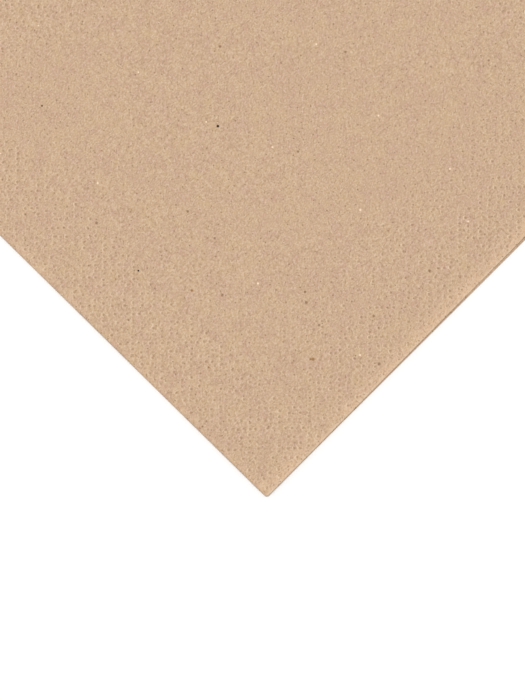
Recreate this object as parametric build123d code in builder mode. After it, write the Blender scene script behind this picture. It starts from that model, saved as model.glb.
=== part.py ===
"""A paper napkin: one square sheet of tissue, folded in half twice and lying flat.

The first fold joins two leaves into a pair. The second fold wraps that pair over, so that four
leaves lie on each other. The closed corner, where both folds meet, is at low X and low Y.
"""

import os
from math import cos, pi, radians, sin

from build123d import *

# The open sheet
sheet_side = 330.0
sheet_thickness = 0.25

# The first fold: a soft bend between two leaves that don't quite touch
leaf_clearance = 0.16
first_fold_off_centre = 0.6

# The second fold: the pair wrapped over, a little off centre and out of square
pair_clearance = 0.18
second_fold_off_centre = 0.8
second_fold_skew = 0.15

# What follows from them
pair_height = 2 * sheet_thickness + leaf_clearance
stack_height = 2 * pair_height + pair_clearance
first_bend_radius = (leaf_clearance + sheet_thickness) / 2
second_bend_radius = (pair_clearance + pair_height) / 2
half_width = (sheet_side - pi * first_bend_radius) / 2
half_length = (sheet_side - pi * second_bend_radius) / 2
outer_leaf = half_width - first_fold_off_centre
inner_leaf = half_width + first_fold_off_centre
upper_pair = half_length - second_fold_off_centre
lower_pair = half_length + second_fold_off_centre

# The sheet's section runs along Y. The lower pair leans towards low Y, the upper pair away from it.
skew = radians(second_fold_skew)
lower_way = Vector(cos(skew), -sin(skew), 0)
upper_way = Vector(cos(skew), sin(skew), 0)

# The origin is under the middle of the folded napkin
lowest_y = -pair_height / 2 - lower_pair * sin(skew)
highest_y = max(inner_leaf, outer_leaf) + upper_pair * sin(skew)
lowest_x = -stack_height / 2
highest_x = max(lower_pair, upper_pair) * cos(skew)
fold_corner = Vector(-(lowest_x + highest_x) / 2, -(lowest_y + highest_y) / 2, 0)
section_plane = Plane(origin=fold_corner, x_dir=(0, 1, 0), z_dir=(1, 0, 0))
second_fold_line = Axis(fold_corner + Vector(0, 0, stack_height / 2), (0, 1, 0))


with BuildPart() as napkin:
    # The lower pair's section: the outer leaf below, the round bend, the inner leaf above
    with BuildSketch(section_plane) as folded_section:
        with BuildLine():
            underside = Line((outer_leaf, 0), (0, 0))
            outer_bend = ThreePointArc(
                underside @ 1, (-pair_height / 2, pair_height / 2), (0, pair_height)
            )
            inner_leaf_edge = Polyline(
                outer_bend @ 1,
                (inner_leaf, pair_height),
                (inner_leaf, pair_height - sheet_thickness),
                (0, pair_height - sheet_thickness),
            )
            inner_bend = ThreePointArc(
                inner_leaf_edge @ 1, (-leaf_clearance / 2, pair_height / 2), (0, sheet_thickness)
            )
            Polyline(inner_bend @ 1, (outer_leaf, sheet_thickness), underside @ 0)
        make_face()
    section = folded_section.sketch.face()

    # The pair lies flat, rolls over the second fold and comes back on top of itself
    extrude(section, amount=lower_pair, dir=lower_way)
    revolve(section, axis=second_fold_line, revolution_arc=180)
    rolled_section = section.rotate(second_fold_line, 180)
    extrude(rolled_section, amount=upper_pair, dir=upper_way)

napkin.part.label = "napkin"

os.makedirs("parts", exist_ok=True)
export_step(napkin.part, "parts/napkin.step")
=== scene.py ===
import math

import bpy
import numpy as np
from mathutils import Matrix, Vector
from mathutils.geometry import delaunay_2d_cdt


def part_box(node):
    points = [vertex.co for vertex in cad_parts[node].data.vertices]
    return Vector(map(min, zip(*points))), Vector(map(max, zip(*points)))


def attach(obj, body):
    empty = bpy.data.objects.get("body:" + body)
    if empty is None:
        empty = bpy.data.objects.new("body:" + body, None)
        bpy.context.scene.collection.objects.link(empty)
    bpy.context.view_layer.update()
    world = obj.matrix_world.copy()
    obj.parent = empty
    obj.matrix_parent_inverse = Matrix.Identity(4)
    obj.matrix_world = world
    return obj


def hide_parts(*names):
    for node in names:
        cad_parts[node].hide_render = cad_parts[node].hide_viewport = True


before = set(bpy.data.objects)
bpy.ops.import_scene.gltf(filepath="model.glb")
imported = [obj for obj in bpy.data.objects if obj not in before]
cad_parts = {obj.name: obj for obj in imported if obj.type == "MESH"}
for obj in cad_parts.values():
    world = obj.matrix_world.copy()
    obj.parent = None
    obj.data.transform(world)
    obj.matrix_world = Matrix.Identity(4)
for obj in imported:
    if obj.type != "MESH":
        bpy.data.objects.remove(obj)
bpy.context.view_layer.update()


# The napkin: one square of brown two-ply tissue made from waste paper, folded in half twice.
# It lies flat, held by nothing but its own creases, and springs open a little at its loose corner.

sheet_side = 0.330
sheet_thickness = 0.00025
leaf_clearance = 0.00016
first_fold_off_centre = 0.0006
pair_clearance = 0.00018
second_fold_off_centre = 0.0008
second_fold_skew = math.radians(0.15)
closed_corner_radius = 0.0009
least_length = 1e-9

pair_height = 2 * sheet_thickness + leaf_clearance
stack_height = 2 * pair_height + pair_clearance
first_bend_radius = (leaf_clearance + sheet_thickness) / 2
second_bend_radius = (pair_clearance + pair_height) / 2
first_quarter_turn = math.pi / 2 * first_bend_radius
second_quarter_turn = math.pi / 2 * second_bend_radius
outer_leaf = sheet_side / 2 - first_fold_off_centre
inner_leaf = sheet_side / 2 + first_fold_off_centre
upper_pair = sheet_side / 2 - second_fold_off_centre
lower_pair = sheet_side / 2 + second_fold_off_centre

napkin_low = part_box("napkin")[0]
second_fold_x = napkin_low.x + stack_height / 2
first_fold_y = napkin_low.y + pair_height / 2 + lower_pair * math.sin(second_fold_skew)
first_fold_edge = first_fold_y - pair_height / 2


def hairpin(along, off, radius):
    """A strip bent back on itself round a half circle.

    along is the length from the middle of the bend, and off the height over the strip's mid-surface.
    Within a quarter turn of the middle a point lies on the arc, and past it on a straight leaf.
    Gives the reach from the bend's centre line and the height over it.
    """
    quarter_turn = math.pi / 2 * radius
    turn = np.clip(along, -quarter_turn, quarter_turn) / radius
    reach = np.maximum(np.abs(along) - quarter_turn, 0) - (radius + off) * np.cos(turn)
    return reach, (radius + off) * np.sin(turn)


wave_rng = np.random.default_rng(11)


def plain_waves(count, number):
    """Random plain waves: for each, its wave numbers along x and y, in radians a metre, and its phase."""
    return wave_rng.uniform(-1, 1, (count, 3)) * [number, number, math.pi]


swell_share = 0.10
swell_waves = plain_waves(count=7, number=130)
spring_height = 0.0028
spring_power = 1.5
flutter_share = 0.10
flutter_growth = 3
flutter_step = 5.0
flutter_waves = plain_waves(count=4, number=150)


def waves(x, y, table, phase):
    """A sum of plain waves over the napkin, about 1 high, each at its own phase and a common one."""
    return sum(np.sin(x * a + y * b + c + phase) for a, b, c in table) / math.sqrt(len(table))


def lift(x, y, height):
    """How far a leaf stands above its place in the pressed stack, for its height over the lowest leaf.

    Long waves swell the whole stack by a share of that height. The leaves also spring apart, by the
    product of both distances from the folds, as shares of a side, to a power: nothing at the folds and
    most at the loose corner. Waves that are out of step from leaf to leaf let them part unevenly.
    """
    level = height / (stack_height - sheet_thickness)
    loose = np.clip(x, 0, None) * np.clip(y, 0, None) / (sheet_side / 2) ** 2
    flutter = flutter_share * np.minimum(flutter_growth * level, 1)
    flutter = flutter * waves(x, y, flutter_waves, flutter_step * level)
    swell = swell_share * waves(x, y, swell_waves, 0) * height
    return swell + spring_height * loose ** spring_power * (level + flutter)


def round_corner(x, y):
    """The closed corner's outline, blunt because four leaves turn there.

    In a square of the corner's radius, each smaller square about its inner corner becomes a circle.
    """
    left = np.clip(closed_corner_radius - (x + stack_height / 2), 0, None)
    below = np.clip(closed_corner_radius - (y + pair_height / 2), 0, None)
    pull = np.maximum(left, below) / np.maximum(np.hypot(left, below), least_length)
    both = (left > 0) & (below > 0)
    return x + np.where(both, left * (1 - pull), 0), y + np.where(both, below * (1 - pull), 0)


def folded(along, across, off):
    """Points of the flat sheet, laid up in the napkin.

    The first fold is a hairpin over across, the second a hairpin over along that takes the first one's
    height as its own off. The second fold is out of square, so the pairs lean apart along the first fold.
    Each leaf is then lifted a little.
    """
    y, rise = hairpin(across, off, first_bend_radius)
    x, height = hairpin(along, rise, second_bend_radius)
    middle = hairpin(along, hairpin(across, 0, first_bend_radius)[1], second_bend_radius)[1]
    x, y = round_corner(x, y)
    z = stack_height / 2 + height + lift(x, y, stack_height / 2 + middle - sheet_thickness / 2)
    y = y + np.sign(along) * np.maximum(x, 0) * math.sin(second_fold_skew)
    return np.stack([second_fold_x + x, first_fold_y + y, z], axis=-1)


# The embossing that holds the two plies together: dots pressed in by a roller, along all sides of a leaf.
# Its square repeat stands on its corner, ten steps a side, with two dotted lines and a ring between them.

repeat_x = 0.01190
repeat_y = 0.01143
repeat_steps = 10
column_step = 5
ring_steps_i = (8, 0, 2)
ring_steps_j = (3, 5, 7)
pattern_start_x = 0.01326
pattern_start_y = 0.01383
second_fold_band = 0.0213
first_fold_band = 0.0175
second_fold_margin = 0.0012
first_fold_margin = 0.0014
inner_band_shift = 16
inner_band_span = (1.2, 1.95)
second_fold_share = 0.86
second_fold_inner_shares = (0.42, 0.18)
first_fold_share = 0.90
first_fold_inner_shares = (0.85, 0.25)
fill_steps = 5

dot_half_length = 0.00068
dot_half_width = 0.00066
dot_depth = 0.00013
dot_spread = 0.45
dot_strengths = (0.15, 1.8)
dot_stray = 0.00007
rim_points = 6
rim_share = 0.42
# The rim's extra share and shift on one side of each dot paint a highlight there.
lit_side_rim_share = 0.46
lit_side_rim_shift = 0.00009
rim_rise_share = 0.15
outside_share = 0.06


def has_dot(i, j):
    """Whether the roller has a dot at step i, j of its repeat: on a line each way, or on the ring."""
    i, j = i % repeat_steps, j % repeat_steps
    row = (j == 0) & (i % 2 == 1)
    column = (i == column_step) & (j % 2 == 0)
    ring_middle = (i == ring_steps_i[1]) & (j == ring_steps_j[1])
    ring = np.isin(i, ring_steps_i) & np.isin(j, ring_steps_j) & ~ring_middle
    return row | column | ring


def leaf_points(length, width, rng):
    """The points of one embossed leaf, measured from its closed corner, and how hard each is pressed.

    Steps i and j of the roller lie on two diagonals: x grows with i less j, and y with their sum downwards.
    A band of dots follows each side. After a plain strip a second band follows, where the repeat is shifted
    and the pressure falls off inwards. Each fold has its own pressure.
    A dot is a pressed middle point in a ring of rim points, which count below zero. The ring is shifted to
    one side, so there the rim lies further out and counts more, by the sine of the way round. That side is
    paler as a painted highlight.
    Points without a dot are kept every few steps.
    """
    reach = int(2 * sheet_side / repeat_y * repeat_steps)
    i, j = np.meshgrid(np.arange(-reach, reach), np.arange(-reach, reach), indexing="ij")
    x = pattern_start_x + (i - j) * repeat_x / (2 * repeat_steps)
    y = pattern_start_y - (i + j) * repeat_y / (2 * repeat_steps)
    inside = (x > second_fold_margin) & (x < length - first_fold_margin)
    inside &= (y > first_fold_margin) & (y < width - first_fold_margin)
    i, j, x, y = (values[inside] for values in (i, j, x, y))

    by_x = np.minimum(x, length - x) / second_fold_band
    by_y = np.minimum(y, width - y) / first_fold_band
    band = np.minimum(by_x, by_y)
    inner_start, inner_end = inner_band_span
    shift = np.where(band < inner_start, 0, inner_band_shift)
    i, j = i + np.where(by_x < by_y, -shift, shift), j + shift
    embossed = (band < 1) | ((band > inner_start) & (band < inner_end))
    dot = has_dot(i, j) & embossed
    fill = ~dot & (i % fill_steps == 1) & (j % fill_steps == 1)

    second_fold_pressure = np.interp(band, inner_band_span, second_fold_inner_shares)
    second_fold_pressure[band < 1] = second_fold_share
    first_fold_pressure = np.interp(band, inner_band_span, first_fold_inner_shares)
    first_fold_pressure[band < 1] = first_fold_share
    pressure = np.where(by_x < by_y, second_fold_pressure, first_fold_pressure)
    strength = np.clip(rng.normal(1, dot_spread, dot.sum()), *dot_strengths) * pressure[dot]

    spoke = 2 * math.pi * np.arange(rim_points) / rim_points
    long_way = np.append(0, dot_half_length * np.cos(spoke)) / math.sqrt(2)
    wide_way = np.append(0, dot_half_width * np.sin(spoke) + lit_side_rim_shift) / math.sqrt(2)
    profile = np.append(1, -rim_share - lit_side_rim_share * np.sin(spoke))
    stray_x, stray_y = rng.normal(0, dot_stray, (2, dot.sum(), 1))
    dot_x = x[dot][:, None] + stray_x + long_way - wide_way
    dot_y = y[dot][:, None] + stray_y + long_way + wide_way
    pressed = strength[:, None] * profile
    return (
        np.append(x[fill], dot_x),
        np.append(y[fill], dot_y),
        np.append(np.zeros(fill.sum()), pressed),
    )


# The sheet: two plies pressed into one skin, with every dot as a pit in its outer face.
# The inner face is plain, and the edge between them was cut square by the folding machine's knife.

line_spacing = 0.004
bend_segments = 6
bend_support = 0.00025


def grid_lines(low, high, quarter_turn):
    """Grid lines across a fold: close ones round the bend, then even ones out to both cut edges."""
    bend = np.linspace(-quarter_turn, quarter_turn, bend_segments + 1)
    bend = np.concatenate([[-quarter_turn - bend_support], bend, [quarter_turn + bend_support]])
    out = np.linspace(bend[-1], high, round((high - bend[-1]) / line_spacing) + 1)[1:]
    back = np.linspace(low, bend[0], round((bend[0] - low) / line_spacing) + 1)[:-1]
    return np.concatenate([back, bend, out]), len(back) + np.arange(len(bend))


def edges_along(rows):
    """Edges between neighbours along rows of point numbers."""
    return np.stack([rows[..., :-1], rows[..., 1:]], axis=-1).reshape(-1, 2)


along_lines, along_bend = grid_lines(-lower_pair, upper_pair, second_quarter_turn)
across_lines, across_bend = grid_lines(-inner_leaf, outer_leaf, first_quarter_turn)
grid_along, grid_across = np.meshgrid(along_lines, across_lines, indexing="ij")
grid_number = np.arange(grid_along.size).reshape(grid_along.shape)

plain = np.zeros(grid_along.shape, bool)
plain[:, : across_bend[-1] + 1] = True
plain[along_bend] = True
plain[[0, -1]] = True
plain[:, -1] = True
outer_number = np.cumsum(plain).reshape(plain.shape) - 1

dot_rng = np.random.default_rng(5)
top_x, top_y, top_pressed = leaf_points(upper_pair, outer_leaf, dot_rng)
under_x, under_y, under_pressed = leaf_points(lower_pair, outer_leaf, dot_rng)
corner_along = second_quarter_turn - stack_height / 2
corner_across = first_quarter_turn - pair_height / 2
flat_along = np.concatenate([grid_along[plain], corner_along + top_x, -corner_along - under_x])
flat_across = np.concatenate([grid_across[plain], corner_across + top_y, corner_across + under_y])
pressed = np.concatenate([np.zeros(plain.sum()), top_pressed, under_pressed])

kept_edges = np.concatenate([
    edges_along(outer_number[along_bend]),
    edges_along(outer_number[:, across_bend].T),
    edges_along(outer_number[[0, -1]]),
    edges_along(outer_number[:, [0, -1]].T),
])
flat_points = np.stack([flat_along, flat_across], axis=1)
triangles = delaunay_2d_cdt(flat_points.tolist(), kept_edges.tolist(), [], 0, least_length, False)
outer_faces = np.array(triangles[2])

dent_depth = dot_depth * np.where(pressed < 0, rim_rise_share * pressed, pressed)
outer_points = folded(flat_along, flat_across, sheet_thickness / 2 - dent_depth)
inner_points = folded(grid_along.ravel(), grid_across.ravel(), -sheet_thickness / 2)
inner_number = grid_number + len(outer_points)
inner_faces = np.stack(
    [inner_number[:-1, :-1], inner_number[:-1, 1:], inner_number[1:, 1:], inner_number[1:, :-1]], axis=-1
).reshape(-1, 4)

cut_edge = np.concatenate(
    [grid_number[:-1, 0], grid_number[-1, :-1], grid_number[:0:-1, -1], grid_number[0, :0:-1]]
)
cut_outer = outer_number.ravel()[cut_edge]
cut_inner = inner_number.ravel()[cut_edge]
cut_faces = np.stack([cut_outer, cut_inner, np.roll(cut_inner, -1), np.roll(cut_outer, -1)], axis=1)

tissue = bpy.data.meshes.new("tissue_sheet")
tissue.from_pydata(
    np.concatenate([outer_points, inner_points]).tolist(),
    [],
    outer_faces.tolist() + inner_faces.tolist() + cut_faces.tolist(),
)
smooth = np.ones(len(tissue.polygons), bool)
smooth[-len(cut_faces):] = False
tissue.polygons.foreach_set("use_smooth", smooth)

dents = tissue.attributes.new("pressed", "FLOAT", "CORNER")
face_pressed = pressed[outer_faces]
face_pressed[face_pressed.max(axis=1) <= 0] *= outside_share
plain_corners = inner_faces.size + cut_faces.size
dents.data.foreach_set("value", np.append(face_pressed, np.zeros(plain_corners)))

map_scale = 0.5
tucked_leaf_place = (0, 0.25)
inner_face_place = (0.5, 0)
cut_face_rows = (0.1, 0.2, 0.2, 0.1)
unrolled = np.stack([np.append(flat_along, grid_along), np.append(flat_across, grid_across)], axis=1)
unrolled = (unrolled + [lower_pair, inner_leaf]) / sheet_side
outer_map = unrolled[outer_faces]
tucked_in = outer_map[:, :, 1].mean(axis=1) < inner_leaf / sheet_side
outer_map[tucked_in] = outer_map[tucked_in] * map_scale + tucked_leaf_place
inner_map = unrolled[inner_faces] * map_scale + inner_face_place
cut_run = (np.arange(len(cut_edge))[:, None] + [0, 0, 1, 1]) / len(cut_edge)
cut_map = np.stack([cut_run * map_scale, np.broadcast_to(cut_face_rows, cut_run.shape)], axis=-1)
own_map = tissue.uv_layers.new(name="OFBake")
own_map.data.foreach_set("uv", np.concatenate([part.ravel() for part in (outer_map, inner_map, cut_map)]))
tissue.update()

napkin = bpy.data.objects.new("tissue_sheet", tissue)
bpy.context.scene.collection.objects.link(napkin)
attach(napkin, "root")
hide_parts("napkin")


# The tissue's finish: unbleached pulp of waste paper, matt, with a fine grain along the web's run.
# Loose light and dark fibres lie in it, and single flecks of bark, ink and bleached paper.
# Partly painted light: highlight in the pale fold bands and on one side of each dot's rim, shade in the
# pits.

class Shade:
    """One value in a material's nodes: its operators add Math nodes, and node() adds any other kind."""

    def __init__(self, tree, socket=None):
        self.tree = tree
        self.socket = socket

    def node(self, kind, settings=None, inputs=None, out=0):
        """A new node: its settings first, then its inputs' values or links. Gives one of its outputs."""
        made = self.tree.nodes.new("ShaderNode" + kind)
        for name, value in (settings or {}).items():
            setattr(made, name, value)
        for name, value in (inputs or {}).items():
            if isinstance(value, Shade):
                self.tree.links.new(value.socket, made.inputs[name])
            else:
                made.inputs[name].default_value = value
        return Shade(self.tree, made.outputs[out] if made.outputs else None)

    def beside(self, out):
        """Another output of the same node."""
        return Shade(self.tree, self.socket.node.outputs[out])

    def math(self, operation, *values):
        """One Math node, with this value first and the others after it."""
        return self.node("Math", {"operation": operation}, dict(enumerate((self,) + values)))

    def __add__(self, other):
        return self.math("ADD", other)

    def __mul__(self, other):
        return self.math("MULTIPLY", other)

    def __sub__(self, other):
        return self.math("SUBTRACT", other)

    def __rsub__(self, other):
        return self.node("Math", {"operation": "SUBTRACT"}, {0: other, 1: self})

    __radd__ = __add__
    __rmul__ = __mul__

    def rise(self, start, end):
        """0 up to start, 1 from end, and smooth between them; start may be the larger one."""
        return self.node(
            "MapRange",
            {"interpolation_type": "SMOOTHSTEP"},
            {"Value": self, "From Min": start, "From Max": end, "To Min": 0.0, "To Max": 1.0},
        )

    def tint(self, below, above):
        """A colour between two, by this value as the share of the second."""
        return self.node("Mix", {"data_type": "RGBA"}, {0: self, 6: below, 7: above}, out=2)


def paint(red, green, blue):
    """A colour from 0 to 255, as a colour chart gives it, in the linear values that shading needs."""
    return tuple((level / 255) ** 2.2 for level in (red, green, blue)) + (1.0,)


flow_angle = math.radians(45)
fibre_fan = 2.4
fibre_bow = 0.5
fibre_side = (0.75, 0.25)
fibre_end = (0.5, 0.3)
speck_spread = 0.5
speck_side = (0.8, 0.3)
fleck_side = (1.3, 0.5)
seed_slant = 1.7


def scattered(place, spacing, seed):
    """One place in each cell of a scattered grid: the offset from it, and two random values of the cell."""
    cells = place.node(
        "Mapping",
        None,
        {"Vector": place, "Location": (seed, seed_slant * seed, 0), "Scale": (1 / spacing, 1 / spacing, 0)},
    )
    chance = cells.node(
        "TexVoronoi", {"voronoi_dimensions": "2D"}, {"Vector": cells, "Scale": 1.0}, out="Color"
    )
    offset = cells.node("VectorMath", {"operation": "SUBTRACT"}, {0: cells, 1: chance.beside("Position")})
    offset = offset.node("VectorMath", {"operation": "SCALE"}, {0: offset, "Scale": spacing})
    red = chance.node("SeparateColor", None, {0: chance}, out="Red")
    return offset, red, red.beside("Green")


def soft_edge(distance, size, shares):
    """1 inside an outline and 0 outside: it fades between two shares of a size, the outer one first."""
    return distance.rise(shares[0] * size, shares[1] * size)


def fibres(place, spacing, length, width, share, seed):
    """Loose fibres, at most one in each cell of a scattered grid.

    One random value of the cell turns its fibre, mostly along the pulp's flow, and the other says whether
    it is there. A point is on the fibre where it is within half the width of a shallow arc, and within half
    the length of its middle.
    """
    offset, turned, there = scattered(place, spacing, seed)
    x = offset.node("SeparateXYZ", None, {0: offset}, out="X")
    y = x.beside("Y")
    turn = flow_angle + (turned - 0.5) * fibre_fan
    cosine, sine = turn.math("COSINE"), turn.math("SINE")
    along = x * cosine + y * sine
    across = y * cosine - x * sine + along * along * (fibre_bow / length)
    on_line = soft_edge(across.math("ABSOLUTE"), width, fibre_side)
    in_length = soft_edge(along.math("ABSOLUTE"), length, fibre_end)
    return on_line * in_length * there.math("LESS_THAN", share)


def specks(place, spacing, radius, share, seed):
    """Round specks, at most one in each cell of a scattered grid, of uneven size."""
    offset, sized, there = scattered(place, spacing, seed)
    distance = offset.node("VectorMath", {"operation": "LENGTH"}, {0: offset}, out="Value")
    spot = soft_edge(distance - sized * (speck_spread * radius), radius, speck_side)
    return spot * there.math("LESS_THAN", share)


def flecks(place, places):
    """Single flecks at listed places, given from the closed corner, with the radius of each."""
    marks = 0.0
    for x, y, radius in places:
        middle = (napkin_low.x + x, first_fold_edge + y, 0)
        distance = place.node("VectorMath", {"operation": "DISTANCE"}, {0: place, 1: middle}, out="Value")
        marks = soft_edge(distance, radius, fleck_side) + marks
    return marks.math("MINIMUM", 1.0)


first_crease_width = 0.0055
first_crease_strength = 0.34
second_crease_width = 0.0035
second_crease_strength = 0.18
crease_patches = 1.1
crease_least = 0.35
crest_width = 0.0009
crest_strength = 0.35
crest_least = 0.5
dark_grain_strength = 0.53
pale_grain_strength = 0.44
dark_hair_strength = 0.35
pale_hair_strength = 0.24
pale_hair_relief = 0.3
speck_strength = 0.55
rim_strength = 0.45
pit_strength = 0.40
pit_power = 0.75
dark_fleck_strength = 0.66
bark_fleck_strength = 0.85
pale_fleck_strength = 0.9

straw_brown = paint(195, 166, 134)
rosy_brown = paint(191, 159, 135)
crease_pale_and_highlight = paint(223, 189, 155)
crest_highlight_pale = paint(232, 208, 180)
dark_grain = paint(150, 118, 90)
pale_grain = paint(232, 210, 186)
pit_brown_and_shade = paint(132, 102, 74)
rim_pale_and_highlight = paint(246, 218, 190)
dark_fibre = paint(120, 90, 64)
pale_fibre = paint(240, 222, 200)
ink_black = paint(34, 12, 2)
bark_brown = paint(146, 104, 66)
bleached = paint(244, 216, 188)

ink_flecks = [
    (0.0645, 0.0830, 0.0004),
    (0.0200, 0.0700, 0.0003),
    (0.0340, 0.1220, 0.00025),
]
bark_flecks = [
    (0.0365, 0.0180, 0.0005),
    (0.0360, 0.0185, 0.0003),
    (0.0265, 0.0555, 0.0004),
    (0.0145, 0.0370, 0.0003),
]
dark_flecks = [
    (0.0465, 0.0305, 0.0005),
    (0.0570, 0.0145, 0.0004),
    (0.0770, 0.0125, 0.0004),
    (0.0485, 0.0040, 0.0005),
    (0.0445, 0.0235, 0.0004),
    (0.0315, 0.0485, 0.0004),
    (0.0415, 0.0720, 0.0004),
]
pale_flecks = [
    (0.0945, 0.0145, 0.0003),
    (0.0465, 0.0095, 0.0003),
    (0.0295, 0.0955, 0.0003),
    (0.0710, 0.0680, 0.0003),
    (0.1015, 0.0285, 0.0003),
]

kraft = bpy.data.materials.new("kraft_tissue")
kraft.use_nodes = True
kraft.node_tree.nodes.clear()
start = Shade(kraft.node_tree)
place = start.node("TexCoord", out="Object")
flat_place = place.node("VectorMath", {"operation": "MULTIPLY"}, {0: place, 1: (1, 1, 0)})
along_flow = {"Vector": place, "Rotation": (0, 0, -flow_angle), "Scale": (0.75, 1, 1)}
flow = place.node("Mapping", None, along_flow)
cloud = place.node("TexNoise", None, {"Vector": place, "Scale": 330.0, "Detail": 3.0, "Roughness": 0.6})
grain = flow.node("TexNoise", None, {"Vector": flow, "Scale": 2400.0, "Detail": 2.0, "Roughness": 0.6})
patch = place.node("TexNoise", None, {"Vector": place, "Scale": 130.0, "Detail": 2.0, "Roughness": 0.6})
dent = start.node("Attribute", {"attribute_name": "pressed"}, out="Fac")

x = place.node("SeparateXYZ", None, {0: place}, out="X")
from_second_fold = x - napkin_low.x
from_first_fold = x.beside("Y") - first_fold_edge - from_second_fold * math.sin(second_fold_skew)
# Pale fold bands: partly paler creased fibres, partly painted highlight; on the first fold, top leaf only.
on_top = x.beside("Z").rise(stack_height - pair_height, stack_height - pair_height / 2)
first_crease = from_first_fold.rise(first_crease_width, 0.0) * on_top * first_crease_strength
second_crease = from_second_fold.rise(second_crease_width, 0.0) * second_crease_strength
crease_patch = patch.rise(start=0.3, end=0.65) * crease_patches + crease_least
crease_and_highlight = (first_crease + second_crease) * crease_patch
crest_patch = patch.rise(start=0.7, end=0.3) + crest_least
crest = from_first_fold.rise(crest_width, 0.0) * on_top * crest_patch * crest_strength

dark_hairs = fibres(flat_place, spacing=0.0017, length=0.0015, width=0.00016, share=0.7, seed=3.1)
pale_hairs = fibres(flat_place, spacing=0.0016, length=0.0014, width=0.00016, share=0.7, seed=8.7)
dark_specks = specks(flat_place, spacing=0.0026, radius=0.00022, share=0.6, seed=5.3)
stray_dark_flecks = specks(flat_place, spacing=0.030, radius=0.0004, share=0.6, seed=12.9)
stray_pale_flecks = specks(flat_place, spacing=0.034, radius=0.0003, share=0.6, seed=6.1)
rim = (dent * -rim_strength).math("MAXIMUM", 0.0)
# Each pit is darkened: partly denser pressed pulp, partly painted shade in the hollow.
pit = dent.math("MAXIMUM", 0.0).math("POWER", pit_power) * pit_strength

colour = cloud.rise(start=0.3, end=0.7).tint(straw_brown, rosy_brown)
# Painted highlight along both folds, partly paler creased fibres.
colour = crease_and_highlight.tint(colour, crease_pale_and_highlight)
colour = (grain.rise(start=0.47, end=0.80) * dark_grain_strength).tint(colour, dark_grain)
colour = (grain.rise(start=0.53, end=0.20) * pale_grain_strength).tint(colour, pale_grain)
# Painted highlight on the first fold's top crest, partly paler creased fibres.
colour = crest.tint(colour, crest_highlight_pale)
colour = (dark_hairs * dark_hair_strength).tint(colour, dark_fibre)
colour = (pale_hairs * pale_hair_strength).tint(colour, pale_fibre)
colour = (dark_specks * speck_strength).tint(colour, dark_fibre)
# A pale rim round each pit, stronger on one side, where it is a painted highlight.
colour = rim.tint(colour, rim_pale_and_highlight)
# Painted shade in each pit, partly the darker pressed pulp.
colour = pit.math("MINIMUM", 1.0).tint(colour, pit_brown_and_shade)
colour = (stray_dark_flecks * dark_fleck_strength).tint(colour, dark_fibre)
colour = (stray_pale_flecks * pale_fleck_strength).tint(colour, bleached)
colour = (flecks(flat_place, dark_flecks) * on_top * dark_fleck_strength).tint(colour, dark_fibre)
colour = (flecks(flat_place, bark_flecks) * on_top * bark_fleck_strength).tint(colour, bark_brown)
colour = (flecks(flat_place, pale_flecks) * on_top * pale_fleck_strength).tint(colour, bleached)
colour = (flecks(flat_place, ink_flecks) * on_top).tint(colour, ink_black)

relief = grain + pale_hairs * pale_hair_relief
bump = relief.node("Bump", None, {"Strength": 0.3, "Distance": 0.00006, "Height": relief})
surface = start.node(
    "BsdfPrincipled",
    None,
    {"Base Color": colour, "Roughness": 0.95, "Specular IOR Level": 0.15, "Normal": bump},
)
start.node("OutputMaterial", None, {"Surface": surface})
tissue.materials.append(kraft)


# The floor: a plain white table top, wide enough to fill every view.
# The napkin lies loose on it.

floor_half = 3.0
floor_drop = 0.00005
floor_mesh = bpy.data.meshes.new("floor")
floor_corners = np.array([[-1, -1, 0], [1, -1, 0], [1, 1, 0], [-1, 1, 0]]) * floor_half
floor_mesh.from_pydata((floor_corners - [0, 0, floor_drop]).tolist(), [], [(0, 1, 2, 3)])
floor = bpy.data.objects.new("floor", floor_mesh)
bpy.context.scene.collection.objects.link(floor)
white = bpy.data.materials.new("white_floor")
white.use_nodes = True
white.node_tree.nodes["Principled BSDF"].inputs["Base Color"].default_value = (0.92, 0.92, 0.92, 1)
white.node_tree.nodes["Principled BSDF"].inputs["Roughness"].default_value = 0.9
floor_mesh.materials.append(white)


# The light: a bright even surround, as in a white tent.
# One soft lamp, high up and from the upper left of the picture, leaves the first fold's side in shade.

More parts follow.
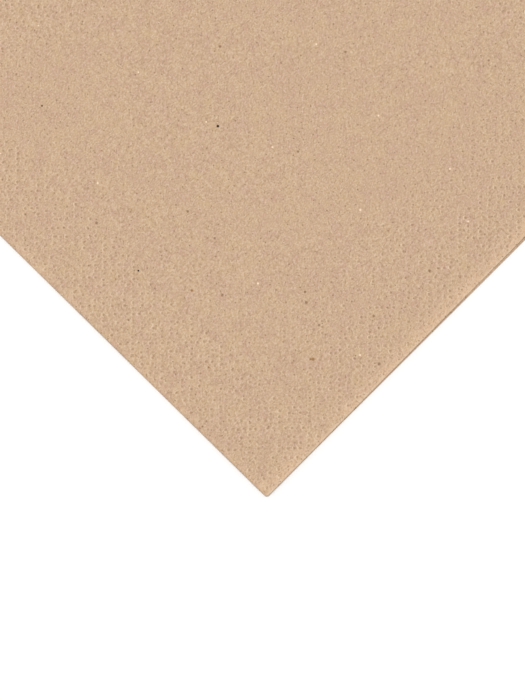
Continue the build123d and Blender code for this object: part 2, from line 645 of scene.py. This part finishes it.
surround = bpy.data.worlds.new("surround")
surround.use_nodes = True
surround.node_tree.nodes["Background"].inputs["Color"].default_value = (1, 1, 1, 1)
surround.node_tree.nodes["Background"].inputs["Strength"].default_value = 0.65
bpy.context.scene.world = surround

closed_corner = Vector((napkin_low.x, first_fold_edge, stack_height))
picture_turn = math.radians(-45.265)
picture_right = Vector((math.cos(picture_turn), math.sin(picture_turn), 0))
picture_up = Vector((-math.sin(picture_turn), math.cos(picture_turn), 0))

lamp_distance = 1.4
lamp_lean = math.radians(6.5)
lamp_aim_up = 0.04
lamp_data = bpy.data.lights.new("soft_lamp", "AREA")
lamp_data.size = 0.35
lamp_data.energy = 9.75
lamp = bpy.data.objects.new("soft_lamp", lamp_data)
bpy.context.scene.collection.objects.link(lamp)
lamp_aim = closed_corner + picture_up * lamp_aim_up
lamp_side = (picture_up - picture_right).normalized()
lamp_way = lamp_side * math.sin(lamp_lean) + Vector((0, 0, math.cos(lamp_lean)))
lamp.location = lamp_aim + lamp_way * lamp_distance
lamp.rotation_euler = (lamp_aim - lamp.location).to_track_quat("-Z", "Y").to_euler()
lamp.visible_camera = False


# The camera: a long lens on a stand, looking almost straight down.
# It is turned so that the closed corner points down the picture.

millimetre = 0.001
pixels_per_millimetre = 3.6
pixel = millimetre / pixels_per_millimetre
picture_width, picture_height = 525, 700
corner_pixel_across, corner_pixel_down = 266.5, 496.75
camera_distance = 1.6
camera_tilt = math.radians(8)
sensor = 0.036

camera_data = bpy.data.cameras.new("camera")
camera_data.sensor_width = sensor / millimetre
camera_data.lens = sensor / millimetre * camera_distance / (picture_height * pixel)
camera = bpy.data.objects.new("camera", camera_data)
bpy.context.scene.collection.objects.link(camera)
picture_middle = (
    closed_corner
    + picture_right * (picture_width / 2 - corner_pixel_across) * pixel
    + picture_up * (corner_pixel_down - picture_height / 2) * pixel / math.cos(camera_tilt)
)
towards_camera = Vector((0, 0, math.cos(camera_tilt))) - picture_up * math.sin(camera_tilt)
camera.location = picture_middle + towards_camera * camera_distance
camera.rotation_euler = (camera_tilt, 0, picture_turn)
bpy.context.scene.camera = camera
bpy.context.scene.view_settings.view_transform = "Standard"
